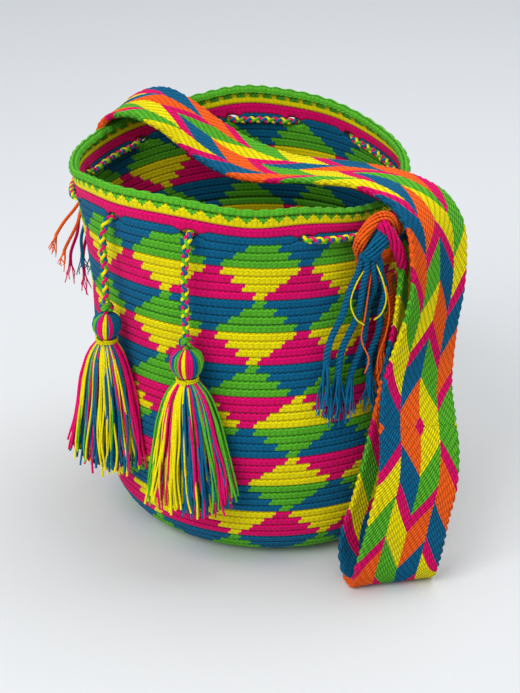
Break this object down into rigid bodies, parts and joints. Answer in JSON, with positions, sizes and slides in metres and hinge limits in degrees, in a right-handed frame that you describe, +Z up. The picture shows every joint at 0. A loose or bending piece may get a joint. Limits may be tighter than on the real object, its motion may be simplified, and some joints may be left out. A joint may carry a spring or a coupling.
{
  "type": "crochet bucket bag",
  "caption": "Round crochet bucket bag with threaded drawstring, hanging tassels, woven shoulder strap draped over the rim, and strap fringes.",
  "frame": {"origin": "middle of the bag's base, on the ground", "axes": "+Z up; -Y is the front, where the tassels hang; +X is the side where the strap hangs down"},
  "size_m": [0.3582, 0.3389, 0.335],
  "materials": {
    "bag_crochet": "matte cotton crochet in blue, green, yellow and magenta bands",
    "drawstring_braid": "matte four-colour round braid",
    "tassel_yarn": "loose plied yarn in blue, green, yellow and magenta",
    "tassel_tie": "wound yellow yarn",
    "strap_weave": "matte woven band in five colours",
    "fringe_orange": "matte twisted orange yarn",
    "fringe_blue": "matte twisted blue yarn",
    "fringe_magenta": "matte twisted magenta yarn"
  },
  "bodies": {
    "root": {"bag_body": "bag_crochet", "drawstring_ring": "drawstring_braid", "drawstring_left_end": "drawstring_braid", "drawstring_right_end": "drawstring_braid", "left_tassel_yarns": "tassel_yarn", "left_tassel_tie": "tassel_tie", "left_tassel_knot": "drawstring_braid", "right_tassel_yarns": "tassel_yarn", "right_tassel_tie": "tassel_tie", "right_tassel_knot": "drawstring_braid", "strap_band": "strap_weave", "right_strap_loop": "fringe_orange", "right_blue_bundle": "fringe_blue", "right_blue_knot": "fringe_blue", "right_orange_knot": "fringe_orange", "left_strap_loop": "fringe_orange", "left_fringe_knot": "fringe_orange", "right_blue_cord_1": "fringe_blue", "right_blue_cord_2": "fringe_blue", "right_blue_cord_3": "fringe_blue", "right_blue_cord_4": "fringe_blue", "right_orange_cord_1": "fringe_orange", "right_orange_cord_2": "fringe_orange", "right_orange_cord_3": "fringe_orange", "left_orange_cord_1": "fringe_orange", "left_orange_cord_2": "fringe_orange", "left_blue_cord_1": "fringe_blue", "left_blue_cord_2": "fringe_blue", "left_magenta_cord_1": "fringe_magenta", "left_magenta_cord_2": "fringe_magenta"}
  },
  "joints": []
}
